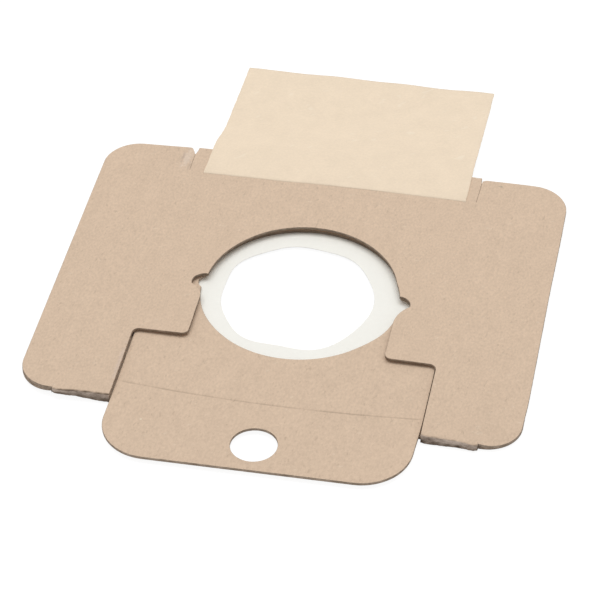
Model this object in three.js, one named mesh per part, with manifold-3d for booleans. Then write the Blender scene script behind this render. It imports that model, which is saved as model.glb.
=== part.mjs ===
// Collar of a vacuum dust bag: one folded blank of grey board, a sealing membrane and a sheet of bag paper.
// Millimetres, +Z up. The collar lies on its back leaf, and +Y points from the grip tab to the bag paper.
// Plan sizes are measured from the centre of the hose hole; the last lines move the origin to the
// middle of the footprint.
import * as THREE from 'three';
import { mergeVertices } from 'three/addons/utils/BufferGeometryUtils.js';
import Module from 'manifold-3d';

// Stock
const boardThickness = 0.8;
const membraneThickness = 0.2;
const paperThickness = 0.2;

// Plate, the outline that the front leaf and the back leaf share
const plateWidth = 130;
const plateTop = 55;              // hole centre to the far edge
const plateBottom = 49.45;        // hole centre to the near edge
const plateCornerRadius = 9.6;

// Holes
const holeRadius = 25.65;         // in the front leaf
const tongueHoleRadius = 26.4;    // in the tongue, with the same ears as the hose hole
const tongueHoleShift = 0.4;      // its centre is this much nearer to the tab
const backHoleRadius = 24;        // hidden under the membrane
const fingerHoleRadius = 6;
const fingerHoleMargin = 9.1;     // its centre to the tab's end

// Window in the front leaf, open at the near edge: a neck under the hole, then a wide part
const neckHalfWidth = 26.15;
const neckCornerRadius = 2.5;
const windowHalfWidth = 39.9;
const windowTop = -23.05;
const windowCornerRadius = 1.8;
const notchRadius = 3.5;          // small ear cut into each side of both holes
const notchCentre = [25.8, -1.8];
const notchCornerRadius = 4.2;    // rounding of the leaf below the ear
const notchCornerStart = -6.6;

// Hinged strip at the far edge, between two slits
const slitOffset = 40.3;
const slitDepth = 10.15;
const slitWidth = 0.35;
const slitMouthDepth = 2.6;
const leftMouthWidth = 1.7;
const rightMouthWidth = 0.8;
const topFoldProud = 0.75;        // how far the top fold stands past the plate's edge

// Folds at the near edge, which join the front leaf to the back leaf beside the window
const foldClearance = 0.3;        // from the window's side to the fold's end
const foldOuterEnd = 54.4;
const bottomFoldProud = 0.45;

// Tongue, the middle layer, with the grip tab at its free end
const tongueClearance = 0.3;      // to each side of the window
const tongueReach = 68.9;         // hole centre to the tab's end
const tongueCornerRadius = 13;

// Heights of the layers
const membraneToTongue = 0.05;
const tongueToLeaf = 0.7;         // at the middle, where the front leaf arches most
const archDrop = 1;               // how much lower the front leaf is at its sides
const archPower = 2.5;
const sideLift = 0.65;            // how far the back leaf rises off the ground beside the tongue,
const liftRunIn = 2;              // from this far inside the tongue's edge
const liftRunOut = 2;             // to this far outside the folds' outer ends
const facetLength = 4;            // the arch is built of flat facets about this long

// Membrane: a disc with a wavy hole, whose radius is a mean plus a few cosine waves
const membraneRadius = 31;
const membraneHoleRadius = 20.7;
const membraneHoleCentre = [-0.8, -1.1];
const membraneWaves = [           // waves round the hole, height in mm, phase in degrees
  [2, 0.26, 164], [4, 0.3, 183], [5, 0.25, 311], [6, 0.21, 23], [7, 0.19, 53], [8, 0.16, 235],
];

// Bag paper: lies on the hinged strip and slopes down to the ground beyond it
const paperNearWidth = 73.8;
const paperFarWidth = 72.5;
const paperNearShift = 0.85;      // its middle is a little to the right
const paperFarShift = 1.5;
const paperLength = 54.25;
const paperClearance = 0.1;       // over the strip
const paperDropLeft = 16;         // length of the slope at each side edge
const paperDropRight = 40;

// Values that follow from the sizes above
const plateHalf = plateWidth / 2;
const tongueHalf = windowHalfWidth - tongueClearance;
const tongueBottom = boardThickness + membraneThickness + membraneToTongue;
const tongueTop = tongueBottom + boardThickness;
const leafCrown = tongueTop + tongueToLeaf + boardThickness;
const slitEnd = plateTop - slitDepth;
const topFoldEdge = plateTop + topFoldProud;
const bottomFoldEdge = -plateBottom - bottomFoldProud;
const paperFarEdge = slitEnd + paperLength;
const chordError = 0.02;          // how far a round edge may lie from its arc
const deg = Math.PI / 180;

const wasm = await Module();
wasm.setup();

// Height of the front leaf's top face and of the back leaf's bottom face across the plate
const leafTopAt = (x) => leafCrown - archDrop * Math.pow(Math.min(1, Math.abs(x) / plateHalf), archPower);
const leafBottomAt = (x) => leafTopAt(x) - boardThickness;
const backBottomAt = (x) =>
  sideLift * THREE.MathUtils.smoothstep(Math.abs(x), tongueHalf - liftRunIn, foldOuterEnd + liftRunOut);
const backTopAt = (x) => backBottomAt(x) + boardThickness;

// Points along a circular arc, the end left out; the angles are in degrees
function arc(cx, cy, radius, from, to) {
  const step = 2 * Math.acos(1 - chordError / radius) / deg;
  const count = Math.max(2, Math.ceil(Math.abs(to - from) / step));
  return Array.from({ length: count }, (_, i) => {
    const angle = (from + (to - from) * i / count) * deg;
    return new THREE.Vector2(cx + radius * Math.cos(angle), cy + radius * Math.sin(angle));
  });
}

const circle = (cx, cy, radius) => arc(cx, cy, radius, 0, 360);
const angleFrom = (centre, point) => Math.atan2(point.y - centre.y, point.x - centre.x) / deg;

// The point where two circles meet that lies to the left of the way from the first centre to the second
function meeting(centreA, radiusA, centreB, radiusB) {
  const way = centreB.clone().sub(centreA);
  const distance = way.length();
  const along = (radiusA ** 2 - radiusB ** 2 + distance ** 2) / (2 * distance);
  const aside = Math.sqrt(Math.max(0, radiusA ** 2 - along ** 2));
  way.divideScalar(distance);
  return new THREE.Vector2(
    centreA.x + along * way.x - aside * way.y, centreA.y + along * way.y + aside * way.x);
}

function roundedRectangle(left, right, bottom, top, radius, topRadius = radius) {
  const corners = [
    [left + radius, bottom + radius, radius, 180], [right - radius, bottom + radius, radius, 270],
    [right - topRadius, top - topRadius, topRadius, 0], [left + topRadius, top - topRadius, topRadius, 90],
  ];
  return corners.flatMap(([x, y, r, from]) => (r > 0
    ? [...arc(x, y, r, from, from + 90), ...endOf(x, y, r, from + 90)] : [new THREE.Vector2(x, y)]));
}

function endOf(x, y, r, angle) {
  return [new THREE.Vector2(x + r * Math.cos(angle * deg), y + r * Math.sin(angle * deg))];
}

// Solid of a geometry, and geometry of a solid
function solidOf(geometry) {
  const bare = geometry.clone();
  bare.deleteAttribute('normal');
  bare.deleteAttribute('uv');
  const merged = mergeVertices(bare, 1e-5);
  return new wasm.Manifold(new wasm.Mesh({
    numProp: 3,
    vertProperties: new Float32Array(merged.attributes.position.array),
    triVerts: new Uint32Array(merged.index.array),
  }));
}

function geometryOf(solid) {
  const { vertProperties, triVerts } = solid.getMesh();
  const geometry = new THREE.BufferGeometry();
  geometry.setAttribute('position', new THREE.BufferAttribute(vertProperties, 3));
  geometry.setIndex(new THREE.BufferAttribute(triVerts, 1));
  return geometry;
}

// Upright prism over a plan outline; without heights it is a cutter that passes through all layers
function prism(outline, low = -1, high = leafCrown + 1) {
  const shape = new THREE.Shape(outline);
  const geometry = new THREE.ExtrudeGeometry(shape, { depth: high - low, bevelEnabled: false });
  return solidOf(geometry.translate(0, 0, low));
}

// Slab that fills the whole plan between two heights which change across the plate
function slab(lowAt, highAt, near, far) {
  const facets = Math.ceil(plateHalf / facetLength);
  const stations = Array.from({ length: 2 * facets + 1 }, (_, i) => plateHalf * (i / facets - 1));
  const section = new THREE.Shape([
    ...stations.map((x) => new THREE.Vector2(x, lowAt(x))),
    ...stations.reverse().map((x) => new THREE.Vector2(x, highAt(x))),
  ]);
  const geometry = new THREE.ExtrudeGeometry(section, { depth: far - near, bevelEnabled: false });
  return solidOf(geometry.rotateX(Math.PI / 2).translate(0, far, 0));
}

// The window with the hose hole and its two ears, as one outline
function windowOutline() {
  const centre = new THREE.Vector2(0, 0);
  const notch = new THREE.Vector2(...notchCentre);
  const corner = new THREE.Vector2(neckHalfWidth + notchCornerRadius, notchCornerStart);
  const tip = meeting(notch, notchRadius, corner, notchCornerRadius);
  const shoulder = meeting(centre, holeRadius, notch, notchRadius);
  const neckTurn = neckHalfWidth + neckCornerRadius;
  const right = [
    new THREE.Vector2(windowHalfWidth, -plateBottom - 1),
    ...arc(windowHalfWidth - windowCornerRadius, windowTop - windowCornerRadius, windowCornerRadius, 0, 90),
    new THREE.Vector2(windowHalfWidth - windowCornerRadius, windowTop),
    ...arc(neckTurn, windowTop + neckCornerRadius, neckCornerRadius, 270, 180),
    new THREE.Vector2(neckHalfWidth, windowTop + neckCornerRadius),
    ...arc(corner.x, corner.y, notchCornerRadius, 180, angleFrom(corner, tip)),
    ...arc(notch.x, notch.y, notchRadius, angleFrom(notch, tip), angleFrom(notch, shoulder)),
    ...arc(0, 0, holeRadius, angleFrom(centre, shoulder), 90),
  ];
  const left = right.map((point) => new THREE.Vector2(-point.x, point.y)).reverse();
  return [...right, new THREE.Vector2(0, holeRadius), ...left];
}

// Slit with a small open mouth at the plate's far edge
function slit(x, mouthWidth) {
  const half = slitWidth / 2;
  const mouth = mouthWidth / 2;
  return prism([
    new THREE.Vector2(x - half, slitEnd), new THREE.Vector2(x + half, slitEnd),
    new THREE.Vector2(x + half, plateTop - slitMouthDepth), new THREE.Vector2(x + mouth, plateTop),
    new THREE.Vector2(x + mouth, topFoldEdge + 1), new THREE.Vector2(x - mouth, topFoldEdge + 1),
    new THREE.Vector2(x - mouth, plateTop), new THREE.Vector2(x - half, plateTop - slitMouthDepth),
  ]);
}

function box(left, right, near, far) {
  const corners = [[left, near], [right, near], [right, far], [left, far]];
  return prism(corners.map(([x, y]) => new THREE.Vector2(x, y)));
}

// One blank, folded twice: tongue, top fold, front leaf, two bottom folds, back leaf
function collarBoard() {
  const plateOutline = roundedRectangle(-plateHalf, plateHalf, -plateBottom, plateTop, plateCornerRadius);
  const near = bottomFoldEdge - 1;
  const far = topFoldEdge + 1;
  const stripHalf = slitOffset - slitWidth / 2;

  const leafSlab = slab(leafBottomAt, leafTopAt, near, far);
  const leafPlan = prism(plateOutline)
    .add(box(-stripHalf, stripHalf, slitEnd, topFoldEdge))
    .subtract(prism(windowOutline()))
    .subtract(slit(-slitOffset, leftMouthWidth))
    .subtract(slit(slitOffset, rightMouthWidth));
  const frontLeaf = leafSlab.intersect(leafPlan);

  const backSlab = slab(backBottomAt, backTopAt, near, far);
  const backPlan = prism(plateOutline).subtract(prism(circle(0, 0, backHoleRadius)));
  const backLeaf = backSlab.intersect(backPlan);

  const tongueOutline =
    roundedRectangle(-tongueHalf, tongueHalf, -tongueReach, topFoldEdge, tongueCornerRadius, 0);
  const tongue = prism(tongueOutline, tongueBottom, tongueTop)
    .subtract(prism(circle(0, -tongueHoleShift, tongueHoleRadius)))
    .subtract(prism(circle(-notchCentre[0], notchCentre[1], notchRadius)))
    .subtract(prism(circle(notchCentre[0], notchCentre[1], notchRadius)))
    .subtract(prism(circle(0, fingerHoleMargin - tongueReach, fingerHoleRadius)));
  const topFold = slab(() => tongueBottom, leafTopAt, near, far)
    .intersect(box(-tongueHalf, tongueHalf, topFoldEdge - boardThickness, topFoldEdge));

  const foldStart = windowHalfWidth + foldClearance;
  const foldSlab = slab(backBottomAt, leafTopAt, near, far);
  const foldInner = bottomFoldEdge + boardThickness;
  const leftFold = foldSlab.intersect(box(-foldOuterEnd, -foldStart, bottomFoldEdge, foldInner));
  const rightFold = foldSlab.intersect(box(foldStart, foldOuterEnd, bottomFoldEdge, foldInner));

  return [topFold, tongue, leftFold, rightFold, backLeaf].reduce((sum, piece) => sum.add(piece), frontLeaf);
}

function sealMembrane() {
  const count = 96;
  const hole = Array.from({ length: count }, (_, i) => {
    const angle = 2 * Math.PI * i / count;
    const radius = membraneWaves.reduce(
      (sum, [waves, height, phase]) => sum + height * Math.cos(waves * angle + phase * deg), membraneHoleRadius);
    return new THREE.Vector2(
      membraneHoleCentre[0] + radius * Math.cos(angle), membraneHoleCentre[1] + radius * Math.sin(angle));
  });
  return prism(circle(0, 0, membraneRadius), boardThickness, boardThickness + membraneThickness)
    .subtract(prism(hole));
}

// Place of a point on the sheet's underside: across runs from -1 to 1, along from 0 (near edge) to 1
function paperPoint(across, along) {
  const half = THREE.MathUtils.lerp(paperNearWidth, paperFarWidth, along) / 2;
  const x = THREE.MathUtils.lerp(paperNearShift, paperFarShift, along) + across * half;
  const y = slitEnd + along * paperLength;
  const slope = THREE.MathUtils.lerp(paperDropLeft, paperDropRight, (across + 1) / 2);
  const fall = THREE.MathUtils.smoothstep(y, topFoldEdge, topFoldEdge + slope);
  return new THREE.Vector3(x, y, (leafTopAt(x) + paperClearance) * (1 - fall));
}

function bagPaper() {
  const columns = 14;
  const rows = 24;
  const faces = [0, paperThickness].map((rise) => Array.from({ length: rows + 1 }, (_, j) =>
    Array.from({ length: columns + 1 }, (_, i) =>
      paperPoint(2 * i / columns - 1, j / rows).add(new THREE.Vector3(0, 0, rise)))));
  const [under, over] = faces;
  const triangles = [];
  const quad = (a, b, c, d) => triangles.push(a, b, c, a, c, d);
  for (let j = 0; j < rows; j += 1) {
    for (let i = 0; i < columns; i += 1) {
      quad(over[j][i], over[j][i + 1], over[j + 1][i + 1], over[j + 1][i]);
      quad(under[j][i], under[j + 1][i], under[j + 1][i + 1], under[j][i + 1]);
    }
    quad(under[j][0], over[j][0], over[j + 1][0], under[j + 1][0]);
    quad(under[j][columns], under[j + 1][columns], over[j + 1][columns], over[j][columns]);
  }
  for (let i = 0; i < columns; i += 1) {
    quad(under[0][i], under[0][i + 1], over[0][i + 1], over[0][i]);
    quad(under[rows][i], over[rows][i], over[rows][i + 1], under[rows][i + 1]);
  }
  return mergeVertices(new THREE.BufferGeometry().setFromPoints(triangles));
}

function piece(name, geometry, color, roughness) {
  const mesh = new THREE.Mesh(geometry, new THREE.MeshStandardMaterial({ color, roughness, metalness: 0 }));
  mesh.name = name;
  return mesh;
}

const collar = new THREE.Group();
collar.add(
  piece('collar_board', geometryOf(collarBoard()), 0xd3bda3, 0.9),
  piece('seal_membrane', geometryOf(sealMembrane()), 0xf3f1ea, 0.5),
  piece('bag_paper', bagPaper(), 0xeddbc3, 0.85),
);
// The origin is the middle of the footprint, on the ground
collar.position.y = (tongueReach - paperFarEdge) / 2;

export default collar;
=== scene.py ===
"""Collar of a vacuum dust bag: a folded blank of grey board, its rubber seal and its sheet of bag paper.

The board is worked out flat, as it is die-cut, and then carried round its folds, so it is one closed sheet.
Lengths in the working functions are millimetres, measured from the middle of the hose hole.
"""

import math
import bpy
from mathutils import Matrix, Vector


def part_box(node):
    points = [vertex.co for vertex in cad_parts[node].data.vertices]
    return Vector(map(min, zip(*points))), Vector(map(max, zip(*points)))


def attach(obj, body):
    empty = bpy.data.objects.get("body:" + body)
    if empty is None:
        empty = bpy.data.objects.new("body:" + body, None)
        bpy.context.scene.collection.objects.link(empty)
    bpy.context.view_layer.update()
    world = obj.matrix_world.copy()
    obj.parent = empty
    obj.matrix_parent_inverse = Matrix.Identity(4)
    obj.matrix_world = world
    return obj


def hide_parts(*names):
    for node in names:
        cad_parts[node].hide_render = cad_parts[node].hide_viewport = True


bl_info = {
    "name": "Dust Bag Collar",
    "version": (1, 0, 0),
    "blender": (4, 5, 0),
    "location": "3D View > Sidebar > Collar",
    "description": "Builds the board collar of a vacuum dust bag with its seal, its paper and a studio",
    "category": "Add Mesh",
}

import bpy
import numpy as np
from bpy.props import FloatProperty, FloatVectorProperty, PointerProperty
from bpy.types import Operator, Panel, PropertyGroup
from mathutils import Matrix, Vector
from mathutils.geometry import delaunay_2d_cdt

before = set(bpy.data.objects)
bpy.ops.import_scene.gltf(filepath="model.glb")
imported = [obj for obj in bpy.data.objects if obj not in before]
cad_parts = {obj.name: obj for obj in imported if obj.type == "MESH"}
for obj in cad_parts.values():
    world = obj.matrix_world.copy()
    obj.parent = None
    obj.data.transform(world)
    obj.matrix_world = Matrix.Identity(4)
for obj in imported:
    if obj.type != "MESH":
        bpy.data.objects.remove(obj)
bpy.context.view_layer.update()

MM = 0.001
CAD_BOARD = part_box("collar_board")

# The blank's features, in millimetres from the middle of the hose hole
NECK_HALVES = (25.55, 26.2)         # left and right, as in all pairs below
NECK_ROUND = 1.7
WINDOW_HALF = 39.9
WINDOW_FAR = -23.3
WINDOW_ROUND = 1.8
EARS = ((25.8, -1.9, 3.3), (26.35, -1.75, 3.17))    # middle and radius of the ears beside the hose hole
TONGUE_EARS = ((24.8, -0.2, 2.9), (26.0, -1.0, 3.5))
EAR_CHEEKS = ((-8.2, 5.5), (-9.5, 9.7))             # place along y and radius of the rounding below each ear
HOLE_FLARES = (0.0, 0.65)           # the hose hole widens by this beside each ear,
TONGUE_BULGES = (0.2, 0.6)          # and the tongue's hole by this below its ears
HOLE_DENT = (0.12, 0.35, 145, 28)   # smaller by this in its far half, and by this at this angle, this wide
PAPER_NEAR = 44.4
TONGUE_HALF = 39.6
TONGUE_REACH = 68.9
TONGUE_ROUND = 13.0
TONGUE_HOLE_AT = -0.4               # the tongue's hole sits this far off the hose hole's middle
TAB_SKEW = (-0.39, -0.2, 0.455)     # aside, narrower and longer on the left, at the tab's end
FINGER_MIDDLE = -59.8
CREASE_AT = -44.8                   # the tab's pressed line in the middle, its bow and its tilt at the sides
CREASE_BOW = 1.95
CREASE_TILT = 0.15
SLIT_AT = 40.3
SLIT_END = 44.85
SLIT_HALF = 0.025
SLIT_MOUTHS = ((0.45, 1.1, 3.1), (0.15, 0.7, 0.6))  # left and right: reach inwards, outwards and down
SLIT_LEAN = 0.4                     # the right slit runs this far outwards at its far end
NEAR_FOLD = 39.95                   # the near folds run from here beside the window
NEAR_ENDS = (54.85, 54.4)           # to here, left and right
SLOT_HALF = 0.015                   # half the cut that frees a fold from the flat edge beside it
BACK_NEAR = (-49.15, -49.05)        # near edge of the back leaf beside the folds, left and right
BACK_CORNER = 9.2
NEAR_CORNERS = (9.6, 8.5)           # radii of the front leaf's near corners
BACK_TUCK = 0.5                     # the back leaf's right side is moved in by this
BACK_CUT = 1.1                      # the back leaf ends this far behind the plate's edge, under the tongue

# Where the sheet starts to bend, how far its middle reaches past the edges, and its bending radius
FAR_BEND = 54.0
NEAR_BEND = -49.1
FAR_REACH = 55.35
NEAR_REACHES = ((-49.5, -50.05), (-49.8, -50.15))  # left and right, each at its inner and outer end
FAR_BEND_RADIUS = 0.62
NEAR_BEND_RADIUS = 0.35
NEAR_ROUND = 0.4                    # each near fold reaches less by this at its ends
FAR_ROOM = 4.5                      # length that the flat blank keeps for each bend
NEAR_ROOM = 2.4

# Heights of the layers, and how chance has moved them
BOARD_HALF = 0.4                    # half the board's thickness
TONGUE_MIDDLE = 1.45
LEAF_CROWN = 3.35                   # top of the front leaf in the middle
ARCH_DROP = 1.0                     # it is lower by this at this distance to each side
ARCH_HALF = 65
ARCH_POWER = 2.5
SIDE_LIFT = 0.65                    # the back leaf is lifted by this at its sides
LIFT_FROM, LIFT_TO = 37.6, 56.4
LEFT_PRESS = 0.3                    # and by this more behind the near left fold
TWIST = ((0.35, -0.25), (-0.35, 0.35))  # lift of the left and the right side, at the near and the far edge
TWIST_FROM, TWIST_TO = 36.0, 56.0
TWIST_NEAR, TWIST_FAR = -49.45, 55.0
CORNER_DROOP = 0.45                 # the near right corner hangs by this below the fold beside it,
CORNER_TUCK = 0.35                  # and is tucked in by this more than the whole right side is
SIDE_TUCK = 0.2
FAR_PUFF = 0.7                      # the far fold stands out by this at its right end

# The rubber seal's hole: its middle, and the waves of its edge by number, height and turn in degrees
SEAL_HOLE_AT = (-0.8, -1.1)
SEAL_WAVES = ((2, 0.26, 164), (4, 0.3, 183), (5, 0.25, 311), (6, 0.21, 23), (7, 0.19, 53), (8, 0.16, 235))

# The bag paper: width and middle at its near and far end, and where and how slowly it falls, left and right
PAPER_WIDTHS = (73.55, 72.25)
PAPER_SKEW = 0.5                    # its near edge starts this much sooner on the left
PAPER_MIDDLES = (0.625, 1.625)
PAPER_FALL_FROM = 55.75
PAPER_FALLS = (16, 40)
PAPER_PRESSED = 0.15                # share of its thickness that the pressed near edge keeps

# Worn and marked places of the board, one of them also painted light: middle, reach, colour and strength
MARKS = (
    ((-42.2, 50.0, 3.0), (1.6, 5.2, 0.8), (0.715, 0.585, 0.475, 1), 0.75),
    ((-43.4, 49.9, 3.0), (0.45, 3.4, 0.8), (0.47, 0.36, 0.29, 1), 0.6),
    ((-40.9, 47.0, 3.0), (0.4, 3.2, 0.8), (0.5, 0.39, 0.31, 1), 0.5),
    ((39.6, 55.9, 2.6), (2.0, 0.5, 0.8), (0.8, 0.72, 0.64, 1), 0.8),
    # pale fuzz along the left window side, and painted light on its cut wall, which stands in shade
    ((-40.35, -37.4, 3.0), (0.7, 8.5, 1.0), (0.65, 0.52, 0.43, 1), 0.65),
    ((46.2, 53.0, 3.0), (0.75, 0.5, 0.8), (0.42, 0.36, 0.27, 1), 0.7),
    ((-30.2, -55.8, 1.8), (0.5, 0.35, 0.5), (0.82, 0.72, 0.56, 1), 0.8),
    ((-13.7, 42.8, 3.3), (0.5, 0.6, 0.8), (0.5, 0.38, 0.28, 1), 0.55),
)
DARK_FLECK = (0.3, 0.22, 0.155, 1)
PALE_FLECK = (0.85, 0.74, 0.6, 1)
PAPER_FIBRE = (0.93, 0.84, 0.7, 1)
WHITE = (1, 1, 1, 1)


# Shapes worked out with arrays


def soft_noise(a, b, seed):
    """Smooth noise from -1 to 1: chance values at the whole numbers of a and b, eased in between."""
    table = np.random.default_rng(seed).uniform(-1, 1, (97, 97))
    i, j = np.floor(a).astype(int), np.floor(b).astype(int)
    u, v = a - i, b - j
    u, v = u * u * (3 - 2 * u), v * v * (3 - 2 * v)
    near = table[i % 97, j % 97] * (1 - u) + table[(i + 1) % 97, j % 97] * u
    far = table[i % 97, (j + 1) % 97] * (1 - u) + table[(i + 1) % 97, (j + 1) % 97] * u
    return near * (1 - v) + far * v


def ease(value, start, end):
    """0 before start, 1 after end, and the smooth cubic 3t^2 - 2t^3 between them."""
    t = np.clip((value - start) / (end - start), 0, 1)
    return t * t * (3 - 2 * t)


def arc(cx, cy, radius, start, end, spacing=0.55):
    """Points of an arc, its centre plus the radius times (cos, sin) of even angles, the last one left out."""
    count = max(4, math.ceil(math.radians(abs(end - start)) * radius / spacing))
    angle = np.radians(start + (end - start) * np.arange(count) / count)
    return np.column_stack((cx + radius * np.cos(angle), cy + radius * np.sin(angle)))


def run(*corners, spacing=0.6):
    """Even points along straight lines from corner to corner, the last corner left out."""
    parts = []
    for start, end in zip(corners[:-1], corners[1:]):
        start, end = np.array(start, float), np.array(end, float)
        count = max(1, math.ceil(np.linalg.norm(end - start) / spacing))
        parts.append(start + (end - start) * (np.arange(count) / count)[:, None])
    return np.vstack(parts)


def sweep(start, knee, end, spacing=0.3):
    """Points of the curve (1-t)^2 start + 2t(1-t) knee + t^2 end, its end left out."""
    start, knee, end = np.array(start, float), np.array(knee, float), np.array(end, float)
    count = max(4, math.ceil(np.linalg.norm(end - start) / spacing))
    t = (np.arange(count) / count)[:, None]
    return (1 - t) ** 2 * start + 2 * t * (1 - t) * knee + t * t * end


def meeting(ax, ay, ar, bx, by, br):
    """Where two circles cross, on the left of the way from the first middle to the second."""
    wx, wy = bx - ax, by - ay
    distance = math.hypot(wx, wy)
    along = (ar**2 - br**2 + distance**2) / (2 * distance)
    aside = math.sqrt(max(0.0, ar**2 - along**2))
    wx, wy = wx / distance, wy / distance
    return ax + along * wx - aside * wy, ay + along * wy + aside * wx


def degrees_from(cx, cy, x, y):
    """Direction from a middle to a point."""
    return math.degrees(math.atan2(y - cy, x - cx))


# Place along the flat blank: the tongue comes first, then the front leaf upside down, then the back leaf


def on_leaf(y):
    """Blank place of the front leaf's y, which runs back from the far fold."""
    return 2 * FAR_BEND + FAR_ROOM - y


def on_back(y):
    """Blank place of the back leaf's y, which runs on from the near folds."""
    return on_leaf(NEAR_BEND) + NEAR_ROOM + (y - NEAR_BEND)


def half_outline(size, mouth, back_near, outer, near_corner):
    """The blank's right edge from the tab's end to the far edge of the back leaf, in blank places."""
    half, far, near, corner = size["plate_half"], size["plate_far"], size["plate_near"], size["corner"]
    tab = TONGUE_HALF - TONGUE_ROUND
    turn = half - corner
    slot = outer + SLOT_HALF
    flat_side = slot + SLOT_HALF
    slit_y = SLIT_END + SLIT_HALF
    strip, plate = SLIT_AT - SLIT_HALF, SLIT_AT + SLIT_HALF
    reach_in, reach_out, depth = mouth
    tip = far - depth
    lip, knee = SLIT_AT + 1.6 * reach_out, SLIT_AT + 0.9 * reach_out
    back_turn = half - BACK_CORNER
    return np.vstack((
        run((0, -TONGUE_REACH), (tab, -TONGUE_REACH)),
        arc(tab, TONGUE_ROUND - TONGUE_REACH, TONGUE_ROUND, -90, 0),
        run((TONGUE_HALF, TONGUE_ROUND - TONGUE_REACH), (TONGUE_HALF, FAR_BEND)),
        run((TONGUE_HALF, FAR_BEND), (SLIT_AT - reach_in, on_leaf(FAR_BEND)), spacing=0.25),
        run((SLIT_AT - reach_in, on_leaf(FAR_BEND)), (strip, on_leaf(min(tip, FAR_BEND - 0.4))),
            (strip, on_leaf(slit_y)), spacing=0.4),
        arc(SLIT_AT, on_leaf(slit_y), SLIT_HALF, 180, 0),
        run((plate, on_leaf(slit_y)), (plate, on_leaf(tip)), spacing=0.4),
        sweep((plate, on_leaf(tip)), (knee, on_leaf(far - 0.1)), (lip, on_leaf(far))),
        run((lip, on_leaf(far)), (turn, on_leaf(far))),
        arc(turn, on_leaf(far - corner), corner, -90, 0),
        run((half, on_leaf(far - corner)), (half, on_leaf(near + near_corner))),
        arc(half - near_corner, on_leaf(near + near_corner), near_corner, 0, 90),
        run((half - near_corner, on_leaf(near)), (flat_side, on_leaf(near)), (flat_side, on_leaf(NEAR_BEND)),
            spacing=0.3),
        arc(slot, on_leaf(NEAR_BEND), SLOT_HALF, 0, -180),
        run((outer, on_leaf(NEAR_BEND)), (outer, on_back(NEAR_BEND)), spacing=0.12),
        run((outer, on_back(NEAR_BEND)), (outer, on_back(back_near)), (back_turn, on_back(back_near)),
            spacing=0.3),
        arc(back_turn, on_back(back_near + BACK_CORNER), BACK_CORNER, -90, 0),
        run((half, on_back(back_near + BACK_CORNER)), (half, on_back(far - corner))),
        arc(turn, on_back(far - corner), corner, 0, 90),
        run((turn, on_back(far)), (0, on_back(far))),
        [(0, on_back(far))],
    ))


def widened(rim, share, extra, start, end):
    """Stands the points of an arc further off the middle, eased in along their angle from start to end."""
    angle = np.degrees(np.arctan2(rim[:, 1], rim[:, 0]))
    return rim * (1 + share * extra * ease(-angle * np.sign(start), -abs(start), -abs(end)))[:, None]


def half_window(size, ear, cheek, neck_half, flare):
    """The right edge of the window, from the hose hole's far point round to the back leaf's near edge."""
    hole, near = size["hose_hole"], size["plate_near"]
    ex, ey, er = ear
    cy, cr = cheek
    cx = neck_half + cr
    tip = meeting(ex, ey, er, cx, cy, cr)
    shoulder = meeting(0, 0, hole + flare, ex, ey, er)
    inner, back = NEAR_FOLD, near + BACK_CUT
    side = WINDOW_HALF - WINDOW_ROUND
    neck = neck_half + NECK_ROUND
    plan = np.vstack((
        widened(arc(0, 0, hole, 90, degrees_from(0, 0, *shoulder)), 1 / hole, flare, 17, 3),
        arc(ex, ey, er, degrees_from(ex, ey, *shoulder), degrees_from(ex, ey, *tip), 0.4),
        arc(cx, cy, cr, degrees_from(cx, cy, *tip), 180, 0.4),
        run((neck_half, cy), (neck_half, WINDOW_FAR + NECK_ROUND)),
        arc(neck, WINDOW_FAR + NECK_ROUND, NECK_ROUND, 180, 270, 0.35),
        run((neck, WINDOW_FAR), (side, WINDOW_FAR)),
        arc(side, WINDOW_FAR - WINDOW_ROUND, WINDOW_ROUND, 90, 0, 0.3),
        run((WINDOW_HALF, WINDOW_FAR - WINDOW_ROUND), (WINDOW_HALF, NEAR_BEND + 2), (inner, NEAR_BEND)),
    ))
    leaf = np.column_stack((plan[:, 0], on_leaf(plan[:, 1])))
    return np.vstack((
        leaf,
        run((inner, on_leaf(NEAR_BEND)), (inner, on_back(NEAR_BEND)), spacing=0.12),
        run((inner, on_back(NEAR_BEND)), (inner, on_back(back)), spacing=0.3),
        run((inner, on_back(back)), (0, on_back(back))),
        [(0, on_back(back))],
    ))


def half_tongue_hole(size, ear, bulge):
    """The right edge of the tongue's hole: a circle joined with an ear."""
    ex, ey, er = ear
    radius, shift = size["tongue_hole"], TONGUE_HOLE_AT
    upper = meeting(0, shift, radius, ex, ey, er)
    lower = meeting(ex, ey, er, 0, shift, radius + bulge)
    return np.vstack((
        arc(0, shift, radius, 90, degrees_from(0, shift, *upper)),
        arc(ex, ey, er, degrees_from(ex, ey, *upper), degrees_from(ex, ey, *lower), 0.4),
        widened(arc(0, shift, radius, degrees_from(0, shift, *lower), -90), 1 / radius, bulge, -48, -24),
        [(0, shift - radius)],
    ))


def both_halves(right, left):
    """Joins the right half of a loop with the left one, which is given turned over to the right."""
    return np.vstack((right[:-1], (left * np.array([-1, 1]))[::-1][:-1]))


def blank_loops(size):
    """The blank's closed edges with the board on their left: the outline, the window and three holes."""
    left, right = (half_outline(size, *side) for side in zip(SLIT_MOUTHS, BACK_NEAR, NEAR_ENDS, NEAR_CORNERS))
    outline = both_halves(right, left)
    left, right = (half_window(size, *side) for side in zip(EARS, EAR_CHEEKS, NECK_HALVES, HOLE_FLARES))
    left_hole, right_hole = (half_tongue_hole(size, *side) for side in zip(TONGUE_EARS, TONGUE_BULGES))
    holes = (
        both_halves(right, left),
        both_halves(right_hole, left_hole),
        arc(0, FINGER_MIDDLE, size["finger_hole"], 360, 0, 0.4),
        arc(0, on_back(0), size["back_hole"], 360, 0),
    )
    return [outline] + [hole if turning(hole) < 0 else hole[::-1] for hole in holes]


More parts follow.
